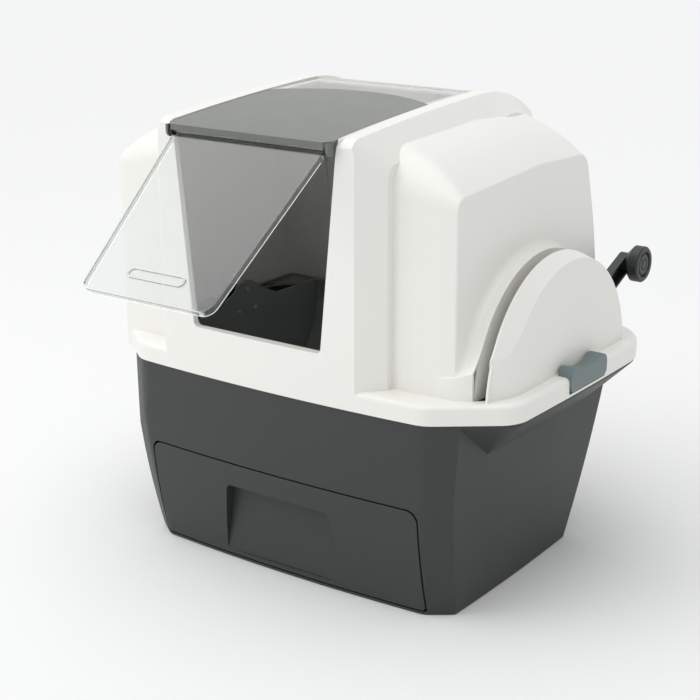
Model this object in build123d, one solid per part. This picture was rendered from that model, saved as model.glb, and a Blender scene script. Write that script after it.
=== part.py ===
from build123d import *
from math import cos, radians, sin, sqrt, tan
import os

# Sifting litter box with a hood, a clear swing door, a turning pan and a waste drawer.
# Millimetres. Origin on the floor under the middle of the rim, +X to the lever side,
# +Y to the rear and +Z up.

# General
wall = 3.0                  # moulded wall of the hood, the base, the drawer and the pan
seat_gap = 0.3              # gap between pieces that rest beside each other
run_gap = 0.05              # radial gap of a pin in its hole
slide_gap = 2.2             # gap round the drawer front

# Rim, where hood and base meet
rim_half = 327.0            # half width at the middle of each side
rim_front = -238.0
rim_rear = 238.5
rim_front_bow = 9.0
rim_side_bow = 3.0
rim_cut = (93.0, 70.0)      # size of the cut front corners, across and along the box
rim_rounds = (45.0, 45.0, 90.0)   # both ends of the cut, and the rear corners
rim_low = 271.0
rim_high = rim_low + 26.0
rim_edge_round = 7.0
rim_bead = 6.0              # thickened foot of the rim that stands on the base

# Base tub: one line for each height, floor, waist and top
base_levels = [
    # height, how far the wall stays inside the rim at the side, front and rear, cut of the
    # front corners
    (0.0, 74.0, 32.0, 102.5, (33.0, 24.0)),
    (110.0, 66.0, 12.0, 58.5, (33.0, 21.0)),
    (rim_low, 58.0, 2.0, 8.5, (32.0, 18.0)),
]
base_floor_half = rim_half - base_levels[0][1]
base_floor_front = rim_front + base_levels[0][2]
base_floor_rear = rim_rear - base_levels[0][3]
base_rounds = (25.0, 5.0, 16.0)
base_bow = 8.0
base_side_bow = 3.0
base_edge_round = 3.0
lip_inset = 2.0             # how far the top lip of the base stays inside the rim
lip_width = 16.0
lip_height = 4.0
flare_fall = 56.0           # height of the sloping flare under the lip

# Hood
hood_shift = -21.0          # the cabin stands to the left, which leaves room for the lever
arch_half = 184.0           # half width of the raised arch over the entrance
arch_bevel = 32.0
arch_bevel_round = 16.0     # round of the bevel's front corner
cabin_half = rim_half - 55.0
cabin_side = hood_shift + cabin_half
cabin_edge_round = 3.0
roof_front_z = 610.5
roof_mid_y = -80.0
roof_mid_z = roof_front_z + 12.0
roof_peak_y = 62.0
roof_peak_z = roof_front_z + 19.5
roof_rear_y = rim_rear - 42.5
roof_rear_z = roof_front_z - 20.5
roof_fall_y = roof_rear_y - 56.0
roof_fall_z = roof_front_z + 8.5
roof_corner = 21.0
# Side views of the shoulder, one line for each place across it: distance from the flat side,
# distance from the rim's front, how far it stays under the roof's front edge at the front,
# the top and the back, round of the front
shoulder_views = [
    (112.0, 46.0, 14.5, 3.5, 6.5, 50.0),
    (39.0, 44.0, 37.5, 26.5, 32.5, 38.0),
    (0.0, 50.0, 65.5, 53.5, 58.5, 17.0),
]
shoulder_top_y = 8.0
shoulder_back_y = rim_rear - 100.5
shoulder_bend_y = rim_rear - 66.5
shoulder_bend_z = 440.0
shoulder_foot_y = rim_rear - 42.5
shoulder_rear_rounds = (200.0, 30.0, 600.0)
rear_foot_y = rim_rear - 12.5

# Entrance
sill_z = rim_high + 41.0
entry_half_low = 104.0
entry_half_high = 129.5
entry_high_z = roof_front_z - 13.5
entry_return = 12.0         # depth of the flange round the entrance

# Roof panel and roof window
ridge_gap_half = entry_half_high + 0.5      # half width of the recess between the two ridges
panel_thick = 3.0
panel_drop = 1.0            # how far the panel lies under the ridges
panel_front_y = rim_front - 12.0
panel_front_z = roof_front_z - 4.0
panel_lip = 7.5
panel_rear_mid = 12.0
panel_rear_side = -34.0
window_rear = 75.0
ledge_width = 14.0
panel_side_gap = 0.8

# Swing door
hinge_y = rim_front - 4.0
hinge_z = panel_front_z - 10.0
door_open = 51.3            # degrees from hanging straight down, as it is held in use
door_length = 255.0
door_half_high = ridge_gap_half - 11.2
door_half_low = entry_half_low - 3.5
door_thick = 2.0
door_flange = 6.0
door_barrel = 3.4
door_pin = 2.4
door_corner = 16.0
grip_length = 88.0
grip_width = 15.0
grip_height = 1.6
grip_from_edge = 27.0
clip_thick = 5.0
clip_radius = 6.5

# Lever dome on the right of the hood
pivot_y = -5.0
pivot_z = rim_high + 3.0
dome_face = rim_half - 21.0
dome_radius = 167.0
dome_centre_y = -10.0
dome_centre_z = pivot_z - 15.0
dome_top_radius = 156.5
dome_top_centre_y = 3.0
dome_hollow = 130.0         # radius of the hollow foot that runs out to the front
dome_top_hollow = 45.0
dome_foot_level = rim_high  # height that the foot runs out to, beside the cabin
dome_top_foot_level = rim_high + 25.0     # and at the face
dome_band = dome_face - 17.0          # where the dome starts to close towards its face
dome_foot_round = 9.0       # blend where the dome grows out of the cabin's side
plinth_front = rim_front + 41.0   # foot of the dome: its front and its rounded corners
plinth_start = (arch_half + hood_shift - 13.0, plinth_front + 9.0)
plinth_corner = 75.0
slot_width = 15.5
slot_outer = dome_band - 2.5
slot_inner = slot_outer - slot_width
slot_end_angle = 8.0        # degrees above the rear rim where the slot ends
slot_lining = 30.0          # depth of the walls beside the slot

# Cradles that carry the pan
cradle_outer = slot_inner - 8.0
cradle_inner = cradle_outer - 15.0
cradle_half_width = 24.0
cradle_foot_z = 150.0
cradle_foot_height = 40.0
bush_wall = 2.5
bush_flange = 2.0

# Litter pan
pan_radius = 178.0
pan_half = cradle_inner - 21.0
pan_ear = 34.0
hub_radius = 15.0
hub_flange = 27.0
hub_flange_thick = 4.0
sieve_front_angle = 181.5
sieve_rear_angle = 273.0
sieve_thick = 3.0
sieve_bar = 5.5
sieve_gap = 9.0
sieve_edge = 10.0
sieve_margin = 0.6

# Lever
lever_side_gap = 1.5
lever_inner = slot_inner + lever_side_gap
lever_outer = slot_outer - lever_side_gap
lever_hub = 24.0
lever_length = 235.0
lever_angle = 23.0
lever_width_hub = 32.0
lever_width_tip = 26.0
lever_web = 3.0
key_half = 8.0              # half width of the square end of the right shaft
knob_radius = 25.0
knob_inner = lever_outer + 0.4
knob_outer = lever_outer + 24.0
knob_pin_radius = 4.0
knob_dish = 3.0

# Side latches
latch_front = -33.0
latch_length = 99.0
latch_rear = latch_front + latch_length
latch_low = rim_low + 3.5
latch_height = 33.5
latch_high = latch_low + latch_height
latch_dip = 8.0
latch_face = rim_half + 2.5
latch_thick = 20.0
latch_inner = latch_face - latch_thick
latch_end_round = 13.0
latch_pin_x = latch_face - 6.5
latch_pin_z = latch_low + 7.0
latch_pin_radius = 1.75
latch_pin_reach = 8.0
latch_leg_gap = 0.7
latch_leg_outer = rim_half - lip_inset - lip_width - latch_leg_gap
latch_leg_inner = latch_leg_outer - 4.3
latch_leg_top = latch_low + 4.0
latch_leg_width = 46.0
latch_barb_face = latch_leg_outer + 1.9   # the barb catches under the lip of the base
latch_barb_high = rim_low - lip_height - 1.2
latch_barb_low = latch_barb_high - 2.3

# Waste drawer
drawer_half = base_floor_half - 34.0
drawer_top = 152.0
drawer_low = 7.0
drawer_corner = 16.0
bin_half = drawer_half - 19.0
bin_front = base_floor_front + 16.0
bin_rear = base_floor_rear - 18.0
bin_wall = 2.5
pan_clearance = 12.0        # between the bin's rim and the turning pan
grip_half_high = 85.0
grip_half_low = 101.0
recess_top = 119.0
recess_foot = 14.0
recess_back = 1.5           # how far the recess's back lies in front of the floor's edge
runner_height = 2.7
runner_width = 8.0
runner_x = 160.0
runner_front = bin_front + 14.0
runner_rear = bin_rear - 12.0
bin_low = wall + runner_height + seat_gap

rear_fall_angle = 25.0      # slope of the roof behind the window

# Odour filter
filter_half = 62.0
filter_y = 118.0
filter_depth = 66.0
filter_thick = 9.0
filter_frame_wall = 2.5
filter_low = roof_front_z - 44.5
vent_count = 7
vent_width = 5.0
vent_length = 44.0

# Fasteners
screw_head = 3.6
screw_head_height = 2.4
screw_shank = 1.8


def plan(z, half, front, rear, bows, cut, rounds):
    """Outline at height z: bowed sides, cut front corners and round rear corners."""
    near = front + bows[0]
    far = rear - bows[0]
    side = half - bows[1]
    start = side - cut[0]
    knee = near + cut[1]
    middle = (knee + far) / 2
    flat = make_face(Curve() + [
        ThreePointArc((-start, near), (0, front), (start, near)),
        Line((start, near), (side, knee)),
        ThreePointArc((side, knee), (half, middle), (side, far)),
        ThreePointArc((side, far), (0, rear), (-side, far)),
        ThreePointArc((-side, far), (-half, middle), (-side, knee)),
        Line((-side, knee), (-start, near)),
    ])
    for level, radius in zip((near, knee, far), rounds):
        corners = [c for c in flat.vertices() if abs(c.Y - level) < 0.01]
        flat = fillet(corners, radius)
    return Pos(0, 0, z) * flat


def moved_in(cut, inset):
    """Size of a cut corner once its outline is moved in all round."""
    across, along = cut
    slant = sqrt(across ** 2 + along ** 2)
    return (across - inset * (1 + (across - slant) / along),
            along - inset * (1 + (along - slant) / across))


def less(rounds, inset):
    return [max(radius - inset, 1.0) for radius in rounds]


def rim_plan(z, inset):
    return plan(z, rim_half - inset, rim_front + inset, rim_rear - inset,
                (rim_front_bow, rim_side_bow), moved_in(rim_cut, inset), less(rim_rounds, inset))


def rounded(points, radii):
    """Flat face through points, with a radius at each corner and 0 for a sharp one."""
    flat = make_face(Polyline(points, close=True))
    for radius in sorted(set(radii) - {0}):
        places = [Vector(*point) for point, own in zip(points, radii) if own == radius]
        corners = [c for c in flat.vertices() if min((c.center() - p).length for p in places) < 0.01]
        flat = fillet(corners, radius)
    return flat


def side_view(x, outline):
    """Face at one place across the box from an outline drawn in Y and Z."""
    return Pos(x, 0, 0) * (Plane.YZ * make_face(outline))


def prism(points, rounds, x_low, x_high):
    """Profile drawn in Y and Z, with a radius at each corner, extruded along X."""
    line = FilletPolyline(points, radius=rounds, close=True)
    face = make_face(line)
    return Pos(x_low, 0, 0) * extrude(Plane.YZ * face, x_high - x_low)


def block(x_low, x_high, y_low, y_high, z_low, z_high):
    size = (x_high - x_low, y_high - y_low, z_high - z_low)
    middle = ((x_low + x_high) / 2, (y_low + y_high) / 2, (z_low + z_high) / 2)
    return Pos(*middle) * Box(*size)


def rod(radius, x_low, x_high, y, z):
    """Round bar along X."""
    return Pos((x_low + x_high) / 2, y, z) * Rot(0, 90, 0) * Cylinder(radius, x_high - x_low)


def rod_y(radius, x, y_low, y_high, z):
    """Round bar along Y."""
    return Pos(x, (y_low + y_high) / 2, z) * Rot(90, 0, 0) * Cylinder(radius, y_high - y_low)


def flipped(solid):
    """The same piece on the left side of the box."""
    return mirror(solid, about=Plane.YZ)


# Base tub

def base_form(inset):
    """Outer form of the tub for inset 0, and its cavity for inset wall."""
    outlines = []
    for z, side, front, rear, cut in base_levels:
        outlines.append(plan(max(z, inset), rim_half - side - inset, rim_front + front + inset,
                             rim_rear - rear - inset, (base_bow, base_side_bow),
                             moved_in(cut, inset), less(base_rounds, inset)))
    tub = loft(outlines)
    if inset:
        return tub
    return fillet(tub.edges().group_by(Axis.Z)[0], base_edge_round)


def base_flare(inset):
    """Sloping flare from the walls of the tub out to the lip that carries the hood."""
    top = rim_low - lip_height
    brim = rim_plan(top, lip_inset + inset)
    return loft([rim_plan(top - flare_fall, lip_inset + inset + flare_fall), brim], ruled=True)


def drawer_outline(gap):
    """Outline of the drawer front seen from the front, as a bar along Y."""
    half = drawer_half + gap
    top = drawer_top + gap
    low = drawer_low - gap
    points = [(-half, low), (half, low), (half, top), (-half, top)]
    line = FilletPolyline(points, radius=[4, 4, drawer_corner, drawer_corner], close=True)
    bar = extrude(Plane.XZ * make_face(line), 260)
    return bar


def base_tub():
    lip_low = rim_low - lip_height
    lip = extrude(rim_plan(lip_low, lip_inset), lip_height)
    outside = (base_form(0) & extrude(rim_plan(0, lip_inset), rim_low)) + base_flare(0) + lip
    inside = base_form(wall) + base_flare(wall * sqrt(2))
    inside = inside & extrude(rim_plan(0, lip_inset + wall), lip_low)
    inside += extrude(rim_plan(lip_low - 1, lip_inset + lip_width), lip_height + 10)
    tub = outside - inside
    tub -= drawer_outline(slide_gap)
    for x in (-runner_x, runner_x):
        tub += block(x - runner_width / 2, x + runner_width / 2, runner_front, runner_rear,
                     wall - 1, wall + runner_height)
    return tub


# Cradles, bushes and the pan's trunnions

def pan_cradle():
    """Post on the right wall of the tub with a bore for the bush."""
    inner = cradle_inner
    outer = cradle_outer
    half = cradle_half_width
    bore = hub_radius + run_gap + bush_wall
    post = block(inner, outer, pivot_y - half, pivot_y + half, cradle_foot_z, pivot_z)
    post += rod(half, inner, outer, pivot_y, pivot_z)
    post -= rod(bore, inner - 1, outer + 1, pivot_y, pivot_z)
    hollow = block(inner + wall, outer + 1, pivot_y - half + wall, pivot_y + half - wall,
                   cradle_foot_z + wall, pivot_z - bore - wall)
    post -= hollow
    foot = block(inner, outer + 10, pivot_y - half, pivot_y + half,
                 cradle_foot_z, cradle_foot_z + cradle_foot_height)
    above = block(inner, outer, pivot_y - half, pivot_y + half, rim_low - 5, 400)
    return (post + foot) & (base_form(wall) + above)


def pan_bush():
    """Flanged plain bearing in the right cradle."""
    bore = hub_radius + run_gap
    outer = bore + bush_wall
    ring = rod(outer, cradle_inner, cradle_outer, pivot_y, pivot_z)
    ring += rod(outer + 3, cradle_outer, cradle_outer + bush_flange, pivot_y, pivot_z)
    return ring - rod(bore, cradle_inner - 1, cradle_outer + 3, pivot_y, pivot_z)


def screw_places():
    """Centres of the three screws that hold a trunnion to the pan's end."""
    radius = (hub_radius + hub_flange) / 2
    return [
        (pivot_y + radius * cos(radians(turn)), pivot_z + radius * sin(radians(turn)))
        for turn in (90, 210, 330)
    ]


def trunnion(reach):
    """Shaft with a round flange on the right end plate of the pan."""
    shaft = rod(hub_radius, pan_half, reach, pivot_y, pivot_z)
    shaft += rod(hub_flange, pan_half, pan_half + hub_flange_thick, pivot_y, pivot_z)
    shaft -= rod(hub_radius - wall, pan_half + hub_flange_thick, cradle_outer - 1,
                 pivot_y, pivot_z)
    for y, z in screw_places():
        shaft -= rod(screw_shank, pan_half - 1, pan_half + 10, y, z)
    return shaft


def trunnion_screws():
    """Six pan-head screws, three at each end of the pan, driven from inside the pan."""
    screws = []
    for y, z in screw_places():
        head_low = pan_half - wall - screw_head_height
        head = rod(screw_head, head_low, pan_half - wall, y, z)
        head = fillet(head.edges().group_by(Axis.X)[0], 1.2)
        screw = head + rod(screw_shank, pan_half - wall, pan_half + hub_flange_thick, y, z)
        screws += [screw, flipped(screw)]
    return Compound(children=[s.solid() for s in screws])


# Litter pan and sieve

def drum_point(radius, angle):
    return (pivot_y + radius * cos(radians(angle)), pivot_z + radius * sin(radians(angle)))


def half_drum(radius, x_half):
    """Lower half of a drum about the pivot."""
    start = drum_point(radius, 180)
    bottom = drum_point(radius, 270)
    end = drum_point(radius, 360)
    face = make_face(Curve() + [ThreePointArc(start, bottom, end), Line(end, start)])
    return Pos(-x_half, 0, 0) * extrude(Plane.YZ * face, 2 * x_half)


def litter_pan():
    pan = half_drum(pan_radius, pan_half) - half_drum(pan_radius - wall, pan_half - wall)
    for low, high in ((-pan_half, -pan_half + wall), (pan_half - wall, pan_half)):
        ear = rod(pan_ear, low, high, pivot_y, pivot_z)
        neck = prism([(pivot_y - 2.2 * pan_ear, pivot_z - 1), (pivot_y + 2.2 * pan_ear, pivot_z - 1),
                      (pivot_y + 0.6 * pan_ear, pivot_z + 0.7 * pan_ear),
                      (pivot_y - 0.6 * pan_ear, pivot_z + 0.7 * pan_ear)], [1, 1, 6, 6], low, high)
        pan += ear + neck
    for y, z in screw_places():
        pan -= rod(screw_shank + run_gap, -pan_half - 1, pan_half + 1, y, z)
    rear_lip = drum_point(pan_radius - 1.5, 360)
    rim_bar = block(-pan_half + 1, pan_half - 1, rear_lip[0] - 9, rear_lip[0], pivot_z - 3, pivot_z)
    pan += rim_bar
    return pan + sieve_rests()


def sieve_line(offset):
    """Two ends of the sieve's underside, moved along its normal by offset."""
    front = drum_point(pan_radius - wall - sieve_margin, sieve_front_angle)
    rear = drum_point(pan_radius - wall - sieve_margin, sieve_rear_angle)
    run = (rear[0] - front[0], rear[1] - front[1])
    length = sqrt(run[0] ** 2 + run[1] ** 2)
    along = (run[0] / length, run[1] / length)
    normal = (-along[1], along[0])
    shift = (normal[0] * offset, normal[1] * offset)
    first = (front[0] + shift[0], front[1] + shift[1])
    last = (rear[0] + shift[0], rear[1] + shift[1])
    return first, last, along, normal, length


def sieve_strip(offset, thick, start, end, x_low, x_high):
    """Flat strip parallel to the sieve, from start to end along its slope."""
    first, last, along, normal, length = sieve_line(offset)
    near = (first[0] + along[0] * start, first[1] + along[1] * start)
    far = (first[0] + along[0] * end, first[1] + along[1] * end)
    corners = [
        near,
        far,
        (far[0] + normal[0] * thick, far[1] + normal[1] * thick),
        (near[0] + normal[0] * thick, near[1] + normal[1] * thick),
    ]
    face = make_face(Polyline(corners, close=True))
    return Pos(x_low, 0, 0) * extrude(Plane.YZ * face, x_high - x_low)


def sieve_rests():
    """Ledges on both end plates that carry the sieve."""
    length = sieve_line(0)[4]
    inner = pan_half - wall
    right = sieve_strip(-wall, wall, 8, length - 8, inner - 6, inner)
    return right + flipped(right)


def sieve():
    """Sloping grille across the pan; litter falls through it and clumps slide off."""
    length = sieve_line(0)[4]
    half = pan_half - wall - sieve_margin
    start = 3.0
    end = length - 3.0
    plate = sieve_strip(0, sieve_thick, start, end, -half, half)
    pitch = sieve_bar + sieve_gap
    count = int((2 * half - 2 * sieve_edge + sieve_bar) // pitch)
    first = -(count - 1) * pitch / 2
    middle = (start + end) / 2
    rows = [(start + sieve_edge, middle - sieve_bar / 2), (middle + sieve_bar / 2, end - sieve_edge)]
    slots = []
    for low, high in rows:
        for number in range(count):
            x = first + number * pitch
            slots.append(sieve_strip(-1, sieve_thick + 2, low, high,
                                     x - sieve_gap / 2, x + sieve_gap / 2))
    return plate - slots


# Lever and knob

def lever_place(along, across):
    """Point in the lever's plane: along its centre line from the pivot, and across it."""
    turn = radians(lever_angle)
    return (pivot_y + along * cos(turn) - across * sin(turn),
            pivot_z + along * sin(turn) + across * cos(turn))


def lever_outline(shrink):
    hub = lever_width_hub / 2 - shrink
    tip = lever_width_tip / 2 - shrink
    corners = [lever_place(0, -hub), lever_place(lever_length, -tip),
               lever_place(lever_length, tip), lever_place(0, hub)]
    return make_face(Polyline(corners, close=True))


def sift_lever():
    """Channel-shaped arm with a hub on the pan's shaft and a boss under the knob."""
    thick = lever_outer - lever_inner
    tip_y, tip_z = lever_place(lever_length, 0)
    arm = Pos(lever_inner, 0, 0) * extrude(Plane.YZ * lever_outline(0), thick)
    arm -= Pos(lever_inner + lever_web, 0, 0) * extrude(Plane.YZ * lever_outline(wall), thick)
    arm += rod(lever_hub, lever_inner, lever_outer, pivot_y, pivot_z)
    arm += rod(lever_width_tip / 2, lever_inner, lever_outer, tip_y, tip_z)
    arm -= block(lever_inner - 1, lever_outer + 1, pivot_y - key_half, pivot_y + key_half,
                 pivot_z - key_half, pivot_z + key_half)
    arm -= rod(knob_pin_radius, lever_inner - 1, lever_outer + 1, tip_y, tip_z)
    return arm


def shaft_key():
    """Square end of the right shaft, inside the lever's hub."""
    half = key_half - run_gap
    return block(cradle_outer - 2, lever_outer, pivot_y - half, pivot_y + half,
                 pivot_z - half, pivot_z + half)


def lever_screw():
    """Screw with a wide head that keeps the lever on the square shaft."""
    head = rod(key_half + 3, lever_outer, lever_outer + 3.5, pivot_y, pivot_z)
    return fillet(head.edges().group_by(Axis.X)[-1], 1.5)


def knob():
    """Turned grip: a rounded barrel with a ring groove in its outer face."""
    tip_y, tip_z = lever_place(lever_length, 0)
    profile = [
        (0, knob_pin_radius + run_gap),
        (0, 15.0),
        (9.0, knob_radius),
        (knob_outer - knob_inner - 2, knob_radius),
        (knob_outer - knob_inner, knob_radius - 2),
        (knob_outer - knob_inner, 18.0),
        (knob_outer - knob_inner - knob_dish, 17.0),
        (knob_outer - knob_inner - knob_dish, knob_pin_radius + run_gap),
    ]
    face = make_face(Polyline(profile, close=True))
    body = revolve(face, axis=Axis.X)
    return Pos(knob_inner, tip_y, tip_z) * body


def knob_cap():
    """Pressed disc that covers the head of the knob's pin."""
    tip_y, tip_z = lever_place(lever_length, 0)
    seat = knob_outer - knob_dish
    disc = rod(14.5, seat, seat + 2.2, tip_y, tip_z)
    disc = fillet(disc.edges().group_by(Axis.X)[-1], 1.2)
    dish = rod(8.0, seat + 1.4, seat + 3, tip_y, tip_z)
    return disc - dish + rod(6.5, seat + 1.0, seat + 2.4, tip_y, tip_z)


def knob_pin():
    """Shoulder pin pressed into the lever that the knob turns on."""
    tip_y, tip_z = lever_place(lever_length, 0)
    return rod(knob_pin_radius, lever_inner, knob_outer - knob_dish - seat_gap, tip_y, tip_z)


# Hood

def arch_profile(x, inset, corner):
    """Side view of the raised arch: front, roof curve and rear."""
    front = rim_front + inset
    low = rim_low - 12
    top = roof_front_z - inset
    bend = corner * (1 - cos(radians(45)))
    corner_near = (front, top - corner)
    corner_mid = (front + bend, top - bend)
    corner_far = (front + corner, top)
    peak = (roof_peak_y, roof_peak_z - inset)
    fall = (roof_rear_y - inset, roof_rear_z - inset)
    foot = (rear_foot_y - inset, low)
    lines = [
        Line((front, low), corner_near),
        ThreePointArc(corner_near, corner_mid, corner_far),
        ThreePointArc(corner_far, (roof_mid_y, roof_mid_z - inset), peak),
        ThreePointArc(peak, (roof_fall_y, roof_fall_z - inset), fall),
        Line(fall, foot),
        Line(foot, (front, low)),
    ]
    return side_view(x, Curve() + lines)


def arch_form(inset):
    """Arch with bevelled sides, cut to the bowed front of the rim."""
    flat = arch_half - arch_bevel - inset / 2
    middle = extrude(arch_profile(hood_shift - flat, inset, roof_corner - inset), 2 * flat)
    near = arch_profile(hood_shift + flat, inset, roof_corner - inset)
    far = arch_profile(hood_shift + arch_half - inset, inset + arch_bevel, arch_bevel_round)
    side = loft([near, far], ruled=True)
    tall = extrude(rim_plan(rim_low - 13, inset), 400)
    return (middle + side + left_of_cabin(side)) & tall


def shoulder_section(view, inset):
    """Side view of the shoulder at one place across the hood."""
    place, front_step, front_drop, top_drop, back_drop, front_round = view
    low = rim_low - 12
    front = rim_front + front_step + inset
    roof = roof_front_z - inset
    points = [
        (front, low),
        (front, roof - front_drop),
        (shoulder_top_y, roof - top_drop),
        (shoulder_back_y - inset, roof - back_drop),
        (shoulder_bend_y - inset, shoulder_bend_z),
        (shoulder_foot_y - inset, low),
    ]
    top_round, back_round, bend_round = shoulder_rear_rounds
    radii = [0, front_round - inset, top_round, back_round - inset, bend_round, 0]
    x = cabin_side - place - (inset if view == shoulder_views[-1] else 0)
    return Pos(x, 0, 0) * (Plane.YZ * rounded(points, radii))


def shoulder_form(inset):
    """Right shoulder: a full curve from beside the arch down to the flat side of the cabin."""
    sections = [shoulder_section(view, inset) for view in shoulder_views]
    body = loft(sections)
    if not inset:
        side = body.faces().sort_by(Axis.X)[-1]
        rim_edges = [edge for edge in side.edges() if edge.center().Z > rim_low]
        body = fillet(rim_edges, cabin_edge_round)
    bridge = extrude(sections[0], cabin_half - shoulder_views[0][0], dir=(-1, 0, 0))
    return (body + bridge) & extrude(rim_plan(rim_low - 13, 8 + inset), 400)


def left_of_cabin(solid):
    return mirror(solid, about=Plane.YZ.offset(hood_shift))


def dome_outline(x, centre_y, radius, foot, level):
    """Bell outline of the lever dome at one depth, with a hollow foot at the front."""
    low = rim_high - 8
    foot_z = level + foot
    foot_y = centre_y - sqrt((radius + foot) ** 2 - (foot_z - dome_centre_z) ** 2)
    share = radius / (radius + foot)
    join = (centre_y + (foot_y - centre_y) * share,
            dome_centre_z + (foot_z - dome_centre_z) * share)

    def on_foot(y):
        reach = max(y - foot_y, 0)
        return (y, foot_z - sqrt(foot ** 2 - reach ** 2))

    start = on_foot(plinth_front)
    near = on_foot(max(foot_y, plinth_front + 16))
    between = on_foot((near[0] + join[0]) / 2)
    rear = (centre_y + sqrt(radius ** 2 - (low - dome_centre_z) ** 2), low)
    return side_view(x, Curve() + [
        Line((plinth_front, low), start),
        Line(start, near),
        ThreePointArc(near, between, join),
        ThreePointArc(join, (centre_y, dome_centre_z + radius), rear),
        Line(rear, (plinth_front, low)),
    ])


def dome_form(inset):
    root = cabin_side - 40
    outline = dome_outline(root, dome_centre_y, dome_radius - inset, dome_hollow + inset,
                           dome_foot_level - inset)
    drum = extrude(outline, dome_band - root)
    face = dome_outline(dome_face - inset, dome_top_centre_y, dome_top_radius - inset,
                        dome_top_hollow + inset, dome_top_foot_level - inset)
    cap = loft([Pos(dome_band - root, 0, 0) * outline, face], ruled=True)
    start_x, start_y = plinth_start
    side = dome_face - inset
    corners = [(start_x, start_y + inset), (side, plinth_front + inset), (side, 250),
               (start_x, 250)]
    flat = rounded(corners, [0, plinth_corner - inset, plinth_corner - inset, 0])
    return (drum + cap) & extrude(Pos(0, 0, rim_low) * flat, 400)


def slot_walls():
    """Walls along both sides of the lever slot, so that it reads as a deep groove."""
    walls = []
    for low, high in ((slot_inner - wall, slot_inner), (slot_outer, slot_outer + wall)):
        ring = rod(dome_radius - 1, low, high, dome_centre_y, dome_centre_z)
        ring -= rod(dome_radius - slot_lining, low - 1, high + 1, dome_centre_y, dome_centre_z)
        walls.append(ring & block(low, high, -300, 300, rim_high - wall, 700))
    return walls


def lever_slot():
    """Curved way for the lever, from the front rim over the dome to the rear."""
    reach = dome_radius + 60
    ring = rod(reach, slot_inner, slot_outer, dome_centre_y, dome_centre_z)
    stop = rotate_about_pivot(block(slot_inner - 1, slot_outer + 1, pivot_y, pivot_y + 300,
                                    pivot_z - 300, pivot_z), slot_end_angle)
    return (ring & block(slot_inner, slot_outer, -300, 300, rim_high, 700)) - stop


def rotate_about_pivot(solid, angle):
    return Pos(0, pivot_y, pivot_z) * Rot(angle, 0, 0) * Pos(0, -pivot_y, -pivot_z) * solid


def rim_form():
    """The rim with its rounded top edge."""
    rim = extrude(rim_plan(rim_low, 0), rim_high - rim_low)
    return fillet(rim.edges().group_by(Axis.Z)[-1], rim_edge_round)


def rim_cavity():
    upper = extrude(rim_plan(rim_low + 5, wall), rim_high - wall - rim_low - 5)
    upper = fillet(upper.edges().group_by(Axis.Z)[-1], rim_edge_round - wall)
    return upper + extrude(rim_plan(rim_low - 13, rim_bead), 13 + 5)


def entry_half(z):
    share = (z - sill_z) / (entry_high_z - sill_z)
    return entry_half_low + share * (entry_half_high - entry_half_low)


def entry_bar(grow, y_low, y_high):
    """Bar with the outline of the entrance, tapering downwards."""
    low = sill_z - grow
    high = entry_high_z + 30
    points = [
        (hood_shift - entry_half(low) - grow, low),
        (hood_shift + entry_half(low) + grow, low),
        (hood_shift + entry_half(high) + grow, high),
        (hood_shift - entry_half(high) - grow, high),
    ]
    line = FilletPolyline(points, radius=[7 + grow, 7 + grow, 1, 1], close=True)
    face = make_face(line)
    return Pos(0, y_high, 0) * extrude(Plane.XZ * face, y_high - y_low)


def roof_band(top, bottom, y_low, y_high, half):
    """Curved sheet under the ridges of the roof, between two depths."""
    body = extrude(Plane.YZ * roof_slice(top, bottom), 2 * half)
    body = Pos(hood_shift - half, 0, 0) * body
    return body & block(-400, 400, y_low, y_high, 500, 700)


def roof_slice(top, bottom):
    def line(depth):
        return ThreePointArc((panel_front_y, panel_front_z + panel_drop - depth),
                             (roof_mid_y, roof_mid_z - depth),
                             (roof_peak_y + 40, roof_peak_z - depth))
    upper = line(top)
    lower = line(bottom)
    sides = [Line(upper @ 0, lower @ 0), Line(upper @ 1, lower @ 1)]
    return make_face(Curve() + [upper, lower] + sides)


def ledge_frame():
    """Rails beside and behind the roof recess that carry the panel and the window."""
    depth = panel_drop + panel_thick
    outer = ridge_gap_half + wall
    inner = ridge_gap_half - ledge_width
    rear = window_rear + panel_side_gap
    front = rim_front + 5
    rails = roof_band(0.2, depth + wall, front, rear + wall, outer)
    rails -= roof_band(-5, depth, front - 1, rear, ridge_gap_half)
    rails -= roof_band(-5, depth + wall + 5, front - 1, rear - ledge_width, inner)
    return rails


def rear_fall(depth):
    """Space above the sloping roof behind the window, between the ridges."""
    start = window_rear + panel_side_gap
    top = roof_peak_z - depth
    end = 250.0
    fall = (end - start) * tan(radians(rear_fall_angle))
    points = [(start, top), (end, top - fall), (end, 700), (start, 700)]
    half = ridge_gap_half + (wall if depth else 0)
    face = Plane.YZ * make_face(Polyline(points, close=True))
    return Pos(hood_shift - half, 0, 0) * extrude(face, 2 * half)


def hood_cavity():
    inside = arch_form(wall) + shoulder_form(wall) + left_of_cabin(shoulder_form(wall))
    return inside + dome_form(wall) + rim_cavity() - rear_fall(wall + 0.3)


def latch_notch():
    """Gap in the rim that the right latch sits in."""
    gap = seat_gap
    return block(latch_inner - gap, latch_face + 20, latch_front - gap, latch_rear + gap,
                 latch_low - gap, latch_high)


def latch_bosses():
    """Two bosses inside the rim that hold the right latch's pin."""
    bosses = []
    reach = latch_pin_reach + 1
    for low, high in ((latch_front - reach, latch_front - seat_gap),
                      (latch_rear + seat_gap, latch_rear + reach)):
        bosses.append(block(latch_pin_x - 6, rim_half - wall, low, high,
                            latch_pin_z - 6, rim_high - wall + 0.5))
    return bosses


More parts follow.
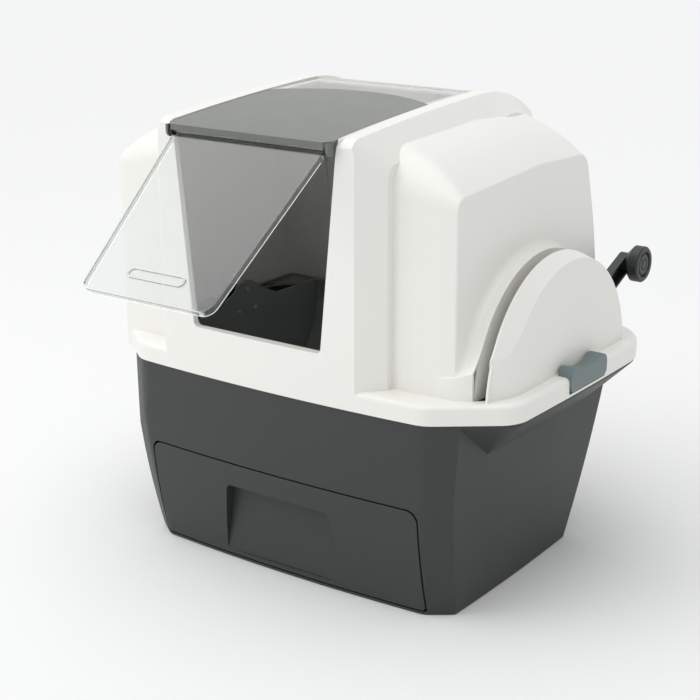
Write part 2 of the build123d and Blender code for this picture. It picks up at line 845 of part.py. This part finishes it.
def dome_foot(form):
    """Edges where the dome meets the flat side of the cabin."""
    centre = Vector(cabin_side, dome_centre_y, dome_centre_z)
    edges = []
    for edge in form.edges():
        place = edge.center()
        beside = abs(place.X - cabin_side) < 6 and place.Z > rim_high
        if beside and (Vector(cabin_side, place.Y, place.Z) - centre).length < dome_radius + 5:
            edges.append(edge)
    return edges


def hood_shell():
    outside = arch_form(0) + shoulder_form(0) + left_of_cabin(shoulder_form(0)) + dome_form(0)
    outside = fillet(dome_foot(outside), dome_foot_round) + rim_form()
    outside -= block(-400, 400, -400, 400, 0, rim_low)
    outside -= rear_fall(0)
    hood = outside - hood_cavity()
    hood += slot_walls()
    hood -= lever_slot()
    rear = window_rear + panel_side_gap
    hood -= roof_band(-30, 12, rim_front - 20, rear, ridge_gap_half)
    hood += ledge_frame()
    jamb = entry_bar(wall, rim_front + 0.6, rim_front + entry_return)
    hood += jamb & arch_form(0.6)
    hood -= entry_bar(0, rim_front - 20, rim_front + entry_return + 1) & block(
        -400, 400, -400, 400, 0, entry_high_z + 20)
    for boss in latch_bosses():
        hood += boss
        hood += flipped(boss)
    cut = latch_notch() + latch_pin()
    hood -= cut
    hood -= flipped(cut)
    hood -= vent_slots()
    return hood


def vent_slots():
    """Row of slots in the rear roof over the filter."""
    pitch = 2 * filter_half / (vent_count + 1)
    slots = []
    for number in range(vent_count):
        x = hood_shift - filter_half + pitch * (number + 1)
        slots.append(block(x - vent_width / 2, x + vent_width / 2, filter_y - vent_length / 2,
                           filter_y + vent_length / 2, 560, 700))
    return slots


# Roof panel, window and door

def panel_plan(rear_mid, rear_side, front, half):
    """Plan of the panel with its arched rear edge."""
    left = hood_shift - half
    right = hood_shift + half
    lines = [
        Line((left, rear_side), (left, front + 10)),
        Line((left, front + 10), (left + 10, front)),
        Line((left + 10, front), (right - 10, front)),
        Line((right - 10, front), (right, front + 10)),
        Line((right, front + 10), (right, rear_side)),
        ThreePointArc((right, rear_side), (hood_shift, rear_mid), (left, rear_side)),
    ]
    return Pos(0, 0, 500) * extrude(make_face(Curve() + lines), 200)


def panel_ear(side):
    """Rounded ear that hangs from a front corner of the panel beside the hinge clip."""
    near = hood_shift + side * (door_half_high + 0.4 + clip_thick)
    far = near + side * 3.4
    low, high = sorted((near, far))
    ear = rod(clip_radius + 1.5, low, high, hinge_y, hinge_z)
    return ear + block(low, high, hinge_y - clip_radius - 1.5, hinge_y + clip_radius + 1.5,
                       hinge_z, panel_front_z - 1)


def panel_lip_bar():
    """Lip along the front edge of the panel."""
    half = ridge_gap_half - panel_side_gap
    return block(hood_shift - half, hood_shift + half, panel_front_y, panel_front_y + wall,
                 panel_front_z - panel_lip, panel_front_z - 1)


def panel_sheet():
    half = ridge_gap_half - panel_side_gap
    low = panel_drop + panel_thick - seat_gap
    sheet = roof_band(panel_drop, low, panel_front_y, 100, half)
    return (sheet + panel_lip_bar()) & panel_plan(panel_rear_mid, panel_rear_side, panel_front_y, half)


def roof_panel():
    return panel_sheet() + panel_ear(1) + panel_ear(-1)


def roof_window():
    half = ridge_gap_half - panel_side_gap
    low = panel_drop + panel_thick - seat_gap
    sheet = roof_band(panel_drop + 0.4, low, panel_rear_side, window_rear, half)
    gap = 0.6
    return sheet - panel_plan(panel_rear_mid + gap, panel_rear_side + gap, panel_front_y,
                              ridge_gap_half + 1)


def hinge_clip(side):
    """Black clip under the panel that holds one hinge pin of the door."""
    near = hood_shift + side * (door_half_high + 0.4)
    far = near + side * (clip_thick - 0.1)
    low, high = sorted((near, far))
    clip = rod(clip_radius, low, high, hinge_y, hinge_z)
    rear = rim_front + 1
    clip += block(low, high, hinge_y - clip_radius, rear, hinge_z, panel_front_z + 2)
    under = panel_drop + panel_thick - seat_gap
    clip -= roof_band(-30, under, panel_front_y, rear + 10, ridge_gap_half)
    clip -= panel_lip_bar()
    return clip - rod(door_pin + run_gap, low - 1, high + 1, hinge_y, hinge_z)


def door_outline(inset):
    """Outline of the hanging door, tapering to its rounded bottom corners."""
    low = hinge_z - door_length + inset
    high = hinge_z
    slope = (door_half_high - door_half_low) / door_length
    half_low = door_half_low - inset + slope * inset
    half_high = door_half_high - inset
    points = [
        (hood_shift - half_low, low),
        (hood_shift + half_low, low),
        (hood_shift + half_high, high),
        (hood_shift - half_high, high),
    ]
    corner = door_corner - inset
    return rounded(points, [corner, corner, 0, 0])


def along_y(face, y_low, y_high):
    """Face drawn in X and Z, extruded along Y."""
    return Pos(0, y_high, 0) * extrude(Plane.XZ * face, y_high - y_low)


def swing_door():
    front = hinge_y - door_thick / 2
    back = hinge_y + door_thick / 2
    door = along_y(door_outline(0), front, back + door_flange)
    door -= along_y(door_outline(door_thick), back, back + door_flange + 1)
    door -= block(-400, 400, back, back + door_flange + 1, hinge_z - 9, hinge_z + 1)
    left = hood_shift - door_half_high
    right = hood_shift + door_half_high
    door += rod(door_barrel, left, right, hinge_y, hinge_z)
    door += rod(door_pin, left - clip_thick, right + clip_thick, hinge_y, hinge_z)
    low = hinge_z - door_length + grip_from_edge
    grip = SlotOverall(grip_length, grip_width)
    grip -= SlotOverall(grip_length - 4, grip_width - 4)
    place = Pos(hood_shift, low + grip_width / 2, 0)
    door += along_y(place * grip, front - grip_height, front)
    return Pos(0, hinge_y, hinge_z) * Rot(-door_open, 0, 0) * Pos(0, -hinge_y, -hinge_z) * door


# Side latches

def latch():
    """Right latch: a block with a finger dip on top and a barbed leg inside the rim."""
    ends = [(latch_front, latch_low), (latch_rear, latch_low),
            (latch_rear, latch_high), (latch_front, latch_high)]
    round_end = latch_end_round
    side = rounded(ends, [round_end] * 4)
    body = Pos(latch_inner, 0, 0) * extrude(Plane.YZ * side, latch_face - latch_inner)
    lower_round = latch_face - latch_pin_x - 0.1
    section = rounded([(latch_inner, latch_low), (latch_face, latch_low),
                       (latch_face, latch_high), (latch_inner, latch_high)],
                      [0, lower_round, 3, 0])
    body &= along_y(section, latch_front - 1, latch_rear + 1)
    middle = (latch_front + latch_rear) / 2
    chord = (latch_rear - latch_front) / 2 - latch_end_round
    dip_radius = (chord ** 2 + latch_dip ** 2) / (2 * latch_dip)
    body -= rod(dip_radius, latch_inner - 1, latch_face + 1, middle,
                latch_high - latch_dip + dip_radius)
    half = latch_leg_width / 2
    body += block(latch_leg_inner, latch_inner + 1, middle - half, middle + half,
                  latch_low, latch_leg_top)
    body += block(latch_leg_inner, latch_leg_outer, middle - half, middle + half,
                  latch_barb_low, latch_leg_top)
    body += block(latch_leg_outer - 1, latch_barb_face, middle - half, middle + half,
                  latch_barb_low, latch_barb_high)
    return body - rod_y(latch_pin_radius + run_gap, latch_pin_x, latch_front - 1,
                        latch_rear + 1, latch_pin_z)


def latch_pin():
    return rod_y(latch_pin_radius, latch_pin_x, latch_front - latch_pin_reach,
                 latch_rear + latch_pin_reach, latch_pin_z)


# Waste drawer

def recess_bar(grow, deeper):
    """Finger recess in the drawer front: a tapering outline with an upright back."""
    top = recess_top + grow
    low = recess_foot - grow
    points = [
        (-grip_half_low - grow, low),
        (grip_half_low + grow, low),
        (grip_half_high + grow, top),
        (-grip_half_high - grow, top),
    ]
    outline = rounded(points, [0, 0, 9 + grow, 9 + grow])
    back = base_floor_front - recess_back + deeper
    return along_y(outline, -300, back)


def drawer_front():
    skin = base_form(0) - base_form(wall + 0.6)
    front = drawer_outline(0) & skin
    front += recess_bar(wall, wall) & base_form(0) & drawer_outline(0)
    rib = drawer_outline(-8) - drawer_outline(-8 - bin_wall)
    front += rib & base_form(1) & block(-400, 400, -300, bin_front, 0, 400)
    front -= recess_bar(0, 0)
    return front & block(-400, 400, -300, bin_front, 0, 400)


def bin_profile(inset, lift):
    """Side view of the bin: tall behind the front, low under the turning pan."""
    reach = pan_radius + pan_clearance

    def under_pan(y):
        return pivot_z - sqrt(reach ** 2 - (y - pivot_y) ** 2)

    front = bin_front + inset
    rear = bin_rear - inset
    low = bin_low + lift
    tall = drawer_top - 8
    knee = pivot_y - sqrt(reach ** 2 - (pivot_z - tall) ** 2)
    steps = [knee + (pivot_y - knee) * share for share in (0, 0.25, 0.5, 0.75, 1.0)]
    top = [(y, under_pan(y) - 1) for y in steps]
    points = [(front, low), (rear, low), (rear, under_pan(pivot_y) - 1)]
    points += list(reversed(top)) + [(front, tall)]
    return points


def drawer_bin():
    outer = make_face(Polyline(bin_profile(0, 0), close=True))
    body = Pos(-bin_half, 0, 0) * extrude(Plane.YZ * outer, 2 * bin_half)
    body = fillet(body.edges().filter_by(Axis.Z).sort_by(Axis.Y)[-2:], 14)
    hollow = block(-bin_half + bin_wall, bin_half - bin_wall, bin_front + bin_wall,
                   bin_rear - bin_wall, bin_low + bin_wall, 300)
    hollow = fillet(hollow.edges().filter_by(Axis.Z).sort_by(Axis.Y)[-2:], 14 - bin_wall)
    return body - hollow


def drawer_screw_places():
    across = bin_half - 12
    return [(x, z) for x in (-across, across) for z in (drawer_low + 17, drawer_top - 24)]


def drawer_screws():
    """Four screws through the bin's front wall into the drawer front."""
    screws = []
    for x, z in drawer_screw_places():
        head_low = bin_front + bin_wall
        head = rod_y(screw_head, x, head_low, head_low + screw_head_height, z)
        head = fillet(head.edges().group_by(Axis.Y)[-1], 1.2)
        screws.append(head)
    return Compound(children=[screw.solid() for screw in screws])


# Odour filter

def filter_block(inset, low, high):
    return block(hood_shift - filter_half + inset, hood_shift + filter_half - inset,
                 filter_y - filter_depth / 2 + inset, filter_y + filter_depth / 2 - inset,
                 low, high)


def filter_frame():
    """Open box under the rear roof with a barred floor."""
    frame = filter_block(0, filter_low, 640) - filter_block(filter_frame_wall,
                                                            filter_low + filter_frame_wall, 640)
    frame &= hood_cavity()
    pitch = 2 * filter_half / (vent_count + 1)
    for number in range(vent_count):
        x = hood_shift - filter_half + pitch * (number + 1)
        frame -= block(x - 4, x + 4, filter_y - filter_depth / 2 + 8, filter_y + filter_depth / 2 - 8,
                       filter_low - 1, filter_low + 5)
    return frame


def filter_pad():
    low = filter_low + filter_frame_wall
    return filter_block(filter_frame_wall + seat_gap, low, low + filter_thick)


nodes = {
    "base_tub": base_tub,
    "pan_cradle_right": pan_cradle,
    "pan_cradle_left": lambda: flipped(pan_cradle()),
    "pan_bush_right": pan_bush,
    "pan_bush_left": lambda: flipped(pan_bush()),
    "hood_shell": hood_shell,
    "roof_panel": roof_panel,
    "roof_window": roof_window,
    "hinge_clip_right": lambda: hinge_clip(1),
    "hinge_clip_left": lambda: hinge_clip(-1),
    "swing_door": swing_door,
    "litter_pan": litter_pan,
    "sieve": sieve,
    "trunnion_right": lambda: trunnion(cradle_outer + 2) + shaft_key(),
    "trunnion_left": lambda: flipped(trunnion(cradle_outer + 2)),
    "trunnion_screws": trunnion_screws,
    "sift_lever": sift_lever,
    "lever_screw": lever_screw,
    "knob": knob,
    "knob_cap": knob_cap,
    "knob_pin": knob_pin,
    "latch_right": latch,
    "latch_left": lambda: flipped(latch()),
    "latch_pin_right": latch_pin,
    "latch_pin_left": lambda: flipped(latch_pin()),
    "drawer_front": drawer_front,
    "drawer_bin": drawer_bin,
    "drawer_screws": drawer_screws,
    "filter_frame": filter_frame,
    "filter_pad": filter_pad,
}

os.makedirs("parts", exist_ok=True)
for name, make in nodes.items():
    export_step(make(), f"parts/{name}.step")
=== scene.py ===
from math import radians

import bpy
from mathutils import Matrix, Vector

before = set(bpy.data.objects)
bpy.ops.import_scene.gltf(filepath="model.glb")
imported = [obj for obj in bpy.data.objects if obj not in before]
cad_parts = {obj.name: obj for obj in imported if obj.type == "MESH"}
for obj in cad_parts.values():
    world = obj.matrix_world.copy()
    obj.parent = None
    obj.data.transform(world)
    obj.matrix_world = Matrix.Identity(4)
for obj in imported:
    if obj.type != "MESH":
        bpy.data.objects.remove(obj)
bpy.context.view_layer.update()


# Base: the tub that stands on the floor and the front of its waste drawer. Both are injection
# moulded in polypropylene. The tub flares out to the lip that carries the hood, and the
# drawer front closes the opening for the drawer, low in its front wall.

def linear(code):
    """Linear colour with full alpha from an sRGB hex code."""
    parts = [int(code[place:place + 2], 16) / 255 for place in (0, 2, 4)]
    return [c / 12.92 if c <= 0.04045 else ((c + 0.055) / 1.055) ** 2.4 for c in parts] + [1.0]


def node(tree, kind, settings=(), inputs=(), links=()):
    """Adds one shader node with its settings, socket values and incoming links."""
    made = tree.nodes.new(kind)
    for name, value in dict(settings).items():
        setattr(made, name, value)
    for socket, value in dict(inputs).items():
        made.inputs[socket].default_value = value
    for socket, source in dict(links).items():
        tree.links.new(source, made.inputs[socket])
    return made


def empty_material(name):
    """Material with an empty node tree."""
    material = bpy.data.materials.new(name)
    material.use_nodes = True
    material.node_tree.nodes.clear()
    return material


def moulded_plastic(name, colour, roughness, grain_mm, depth_mm):
    """Plastic coloured all through, with the grain of its mould and a slightly uneven gloss."""
    plastic_ior = 1.49
    grain_strength = 0.25
    flow_mm = 71.4          # patches of more and less gloss where the melt flowed
    more_gloss = 0.03
    less_gloss = 0.05
    material = empty_material(name)
    tree = material.node_tree
    place = node(tree, "ShaderNodeTexCoord").outputs["Object"]
    grain = node(tree, "ShaderNodeTexNoise",
                 inputs={"Scale": 1000 / grain_mm, "Detail": 2.0}, links={"Vector": place})
    flow = node(tree, "ShaderNodeTexNoise",
                inputs={"Scale": 1000 / flow_mm, "Detail": 3.0}, links={"Vector": place})
    gloss = node(tree, "ShaderNodeMapRange",
                 inputs={"To Min": roughness - more_gloss, "To Max": roughness + less_gloss},
                 links={"Value": flow.outputs["Fac"]})
    bump = node(tree, "ShaderNodeBump",
                inputs={"Strength": grain_strength, "Distance": depth_mm / 1000},
                links={"Height": grain.outputs["Fac"]})
    skin = node(tree, "ShaderNodeBsdfPrincipled",
                inputs={"Base Color": linear(colour), "IOR": plastic_ior},
                links={"Roughness": gloss.outputs["Result"], "Normal": bump.outputs["Normal"]})
    node(tree, "ShaderNodeOutputMaterial", links={"Surface": skin.outputs["BSDF"]})
    return material


def dress(material, *pieces):
    """Gives the CAD pieces named their material."""
    for piece in pieces:
        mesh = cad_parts[piece].data
        mesh.materials.clear()
        mesh.materials.append(material)


# Dark polypropylene with a fine spark-eroded grain: a dull surface with a wide, weak highlight.
# The real grain is near 0.2 mm and is drawn coarser, here and on the other plastics, to show.
base_grey = moulded_plastic("dark_grey_polypropylene_moulded", "313533",
                            roughness=0.5, grain_mm=0.9, depth_mm=0.05)
dress(base_grey, "base_tub", "drawer_front")


# Pan, sieve and bin: the pieces that hold litter and waste, and the two posts on the tub's
# walls that carry the pan. They are moulded in a lighter polypropylene. The sieve rests on
# ledges in the pan, and the bin is screwed to the drawer front.

# Smooth, easily wiped polypropylene: an even mid grey with a soft sheen and hardly any grain.
pan_grey = moulded_plastic("mid_grey_polypropylene_moulded", "8C8F8E",
                           roughness=0.4, grain_mm=0.9, depth_mm=0.02)
dress(pan_grey, "litter_pan", "sieve", "pan_cradle_right", "pan_cradle_left", "drawer_bin")


# Shafts, bearings and clips: the small wearing pieces. The shafts turn with the pan in flanged
# bushes in the two posts, a wide-headed screw keeps the lever on its shaft, and two clips
# under the roof panel hold the pins of the door. All are moulded nylon.

# Black nylon: nearly black, with a satin gloss.
black_nylon = moulded_plastic("black_nylon_moulded", "1B1B1C",
                              roughness=0.45, grain_mm=0.8, depth_mm=0.03)
dress(black_nylon, "trunnion_right", "trunnion_left", "pan_bush_right", "pan_bush_left",
      "lever_screw", "hinge_clip_right", "hinge_clip_left")


# Hood: one large white shell with its arch, shoulders and lever dome, held on the tub by the
# side latches, and the frame of the odour filter under its rear roof. Both are injection
# moulded in ABS from a polished mould.

# White ABS: a warm white with broad soft highlights along its rounds, and next to no grain.
white_abs = moulded_plastic("white_abs_moulded", "F0EFEA",
                            roughness=0.36, grain_mm=0.8, depth_mm=0.02)
dress(white_abs, "hood_shell", "filter_frame")


# Roof panel: a bowed sheet with a turned-down front lip and an ear at each front corner, lying
# between the ridges of the hood on rails. It is moulded polypropylene, lighter than the base.

# Grey polypropylene: glossier than the base, so that it takes on the pale room from above.
roof_grey = moulded_plastic("roof_grey_polypropylene_moulded", "6C706B",
                            roughness=0.34, grain_mm=0.9, depth_mm=0.04)
dress(roof_grey, "roof_panel")


# Window and door: the window lies on the same rails behind the roof panel, and the door hangs
# from its moulded rod in the two clips and swings both ways. Both are 2 to 3 mm sheets of
# clear polystyrene, moulded with polished faces.

# Clear polystyrene: almost no colour, sharp reflections on its faces and bright edges. Light
# passes through it, so it casts only a faint shadow. A Mix Shader's sockets are its factor, 0,
# and its two shaders, 1 and 2.
clear = empty_material("clear_polystyrene_moulded")
tree = clear.node_tree
clear_sheet = node(tree, "ShaderNodeBsdfPrincipled",
                   inputs={"Base Color": linear("E0E3E1"), "Roughness": 0.04, "IOR": 1.59,
                           "Transmission Weight": 1.0})
faint_shadow = node(tree, "ShaderNodeBsdfTransparent", inputs={"Color": linear("F2F4F4")})
path = node(tree, "ShaderNodeLightPath")
either = node(tree, "ShaderNodeMixShader",
              links={0: path.outputs["Is Shadow Ray"], 1: clear_sheet.outputs["BSDF"],
                     2: faint_shadow.outputs["BSDF"]})
node(tree, "ShaderNodeOutputMaterial", links={"Surface": either.outputs["Shader"]})
dress(clear, "roof_window", "swing_door")


# Lever and knob: a channel-shaped arm that comes out of the slot in the dome, a turned grip
# that spins on a pin at its end, and the disc that covers the pin. All are moulded ABS.

# Charcoal ABS: darker than the base and a little glossier, with small clear highlights.
charcoal_abs = moulded_plastic("charcoal_abs_moulded", "212426",
                               roughness=0.42, grain_mm=0.8, depth_mm=0.03)
dress(charcoal_abs, "sift_lever", "knob", "knob_cap")


# Side latches: a block with a finger dip in a gap of the rim on each side, turning on a pin
# and holding the hood down with a barb under the tub's lip. They are moulded ABS.

# Blue-grey ABS: a cool mid grey that stands out from the white rim, with a satin gloss.
latch_abs = moulded_plastic("blue_grey_abs_moulded", "6E7B7C",
                            roughness=0.42, grain_mm=0.8, depth_mm=0.03)
dress(latch_abs, "latch_right", "latch_left")


# Pins and screws: the pins of the latches and the knob, and the screws that hold the shafts
# to the pan and the bin to the drawer front. They are turned or cold-headed steel.

# Zinc-plated steel: a cool bright metal, dulled a little by the plating.
steel = empty_material("steel_zinc_plated")
tree = steel.node_tree
plating = node(tree, "ShaderNodeBsdfPrincipled",
               inputs={"Base Color": linear("C4C6C8"), "Metallic": 1.0, "Roughness": 0.32})
node(tree, "ShaderNodeOutputMaterial", links={"Surface": plating.outputs["BSDF"]})
dress(steel, "latch_pin_right", "latch_pin_left", "knob_pin", "trunnion_screws",
      "drawer_screws")


# Odour filter: a flat mat of polyester fibre filled with carbon. It is cut to size and lies
# loose in its frame under the vent slots.

# Carbon-filled felt: near black and quite dull, with a coarse tufted surface.
felt = moulded_plastic("carbon_polyester_felt", "2A2A2A",
                       roughness=0.9, grain_mm=2.5, depth_mm=0.6)
dress(felt, "filter_pad")


# Camera, fitted to the photograph: a long lens from the front right, a little above.

def aimed(name, data, place, target):
    """Sets up a camera or a lamp at a place, turned towards a target."""
    thing = bpy.data.objects.new(name, data)
    bpy.context.scene.collection.objects.link(thing)
    thing.location = place
    thing.rotation_euler = (Vector(target) - thing.location).to_track_quat("-Z", "Y").to_euler()
    return thing


camera_place = (1.1672, -1.6860, 0.9212)
camera_target = (-0.0207, 0.0, 0.2584)
camera_data = bpy.data.cameras.new("camera")
camera_data.lens = 78.5
camera_data.sensor_width = 36.0
camera_data.shift_x = -0.0163
camera_data.shift_y = 0.0039
camera_data.clip_start = 0.05
camera_data.clip_end = 50.0
bpy.context.scene.camera = aimed("camera", camera_data, camera_place, camera_target)


# Floor: a wide sheet of pale paper under the box, about as light as the backdrop that it runs
# into. It is matte, so it shows the box's soft shadow and no reflection of it.
floor_size = 60.0
bpy.ops.mesh.primitive_plane_add(size=floor_size, location=(0, 0, 0))
floor = bpy.context.object
floor.name = "floor"
pale_paper = empty_material("pale_paper_matte")
tree = pale_paper.node_tree
paper_face = node(tree, "ShaderNodeBsdfDiffuse", inputs={"Color": linear("F2F2F2")})
node(tree, "ShaderNodeOutputMaterial", links={"Surface": paper_face.outputs["BSDF"]})
floor.data.materials.append(pale_paper)


# Backdrop: an even pale room. The camera, reflections and the view through the clear sheets
# get it at full strength, and the object is lit by a dimmer one.
lit_strength = 0.56
world = bpy.data.worlds.new("studio")
bpy.context.scene.world = world
world.use_nodes = True
tree = world.node_tree
tree.nodes.clear()
seen = node(tree, "ShaderNodeBackground", inputs={"Color": linear("F7F7F7"), "Strength": 1.0})
lit = node(tree, "ShaderNodeBackground",
           inputs={"Color": linear("F6F7F8"), "Strength": lit_strength})
path = node(tree, "ShaderNodeLightPath")
mirrored = node(tree, "ShaderNodeMath", settings={"operation": "MAXIMUM"},
                links={0: path.outputs["Is Camera Ray"], 1: path.outputs["Is Glossy Ray"]})
looked_at = node(tree, "ShaderNodeMath", settings={"operation": "MAXIMUM"},
                 links={0: mirrored.outputs["Value"], 1: path.outputs["Is Transmission Ray"]})
either = node(tree, "ShaderNodeMixShader",
              links={0: looked_at.outputs["Value"], 1: lit.outputs["Background"],
                     2: seen.outputs["Background"]})
node(tree, "ShaderNodeOutputWorld", links={"Surface": either.outputs["Shader"]})


# Lamps: a very wide key nearly overhead, a little to the front left, which lights the floor
# evenly, and a softbox at the front left that draws the long highlights on the hood.
overhead = bpy.data.lights.new("key", "SUN")
overhead.energy = 1.65
overhead.angle = radians(80)
aimed("key", overhead, (0, 0, 0), (0.25, 0.35, -1.5))

softbox = bpy.data.lights.new("softbox", "AREA")
softbox.size = 1.6
softbox.energy = 9.0
aimed("softbox", softbox, (-1.6, -1.7, 1.3), (0, 0, 0.35))

bpy.context.scene.view_settings.view_transform = "Standard"
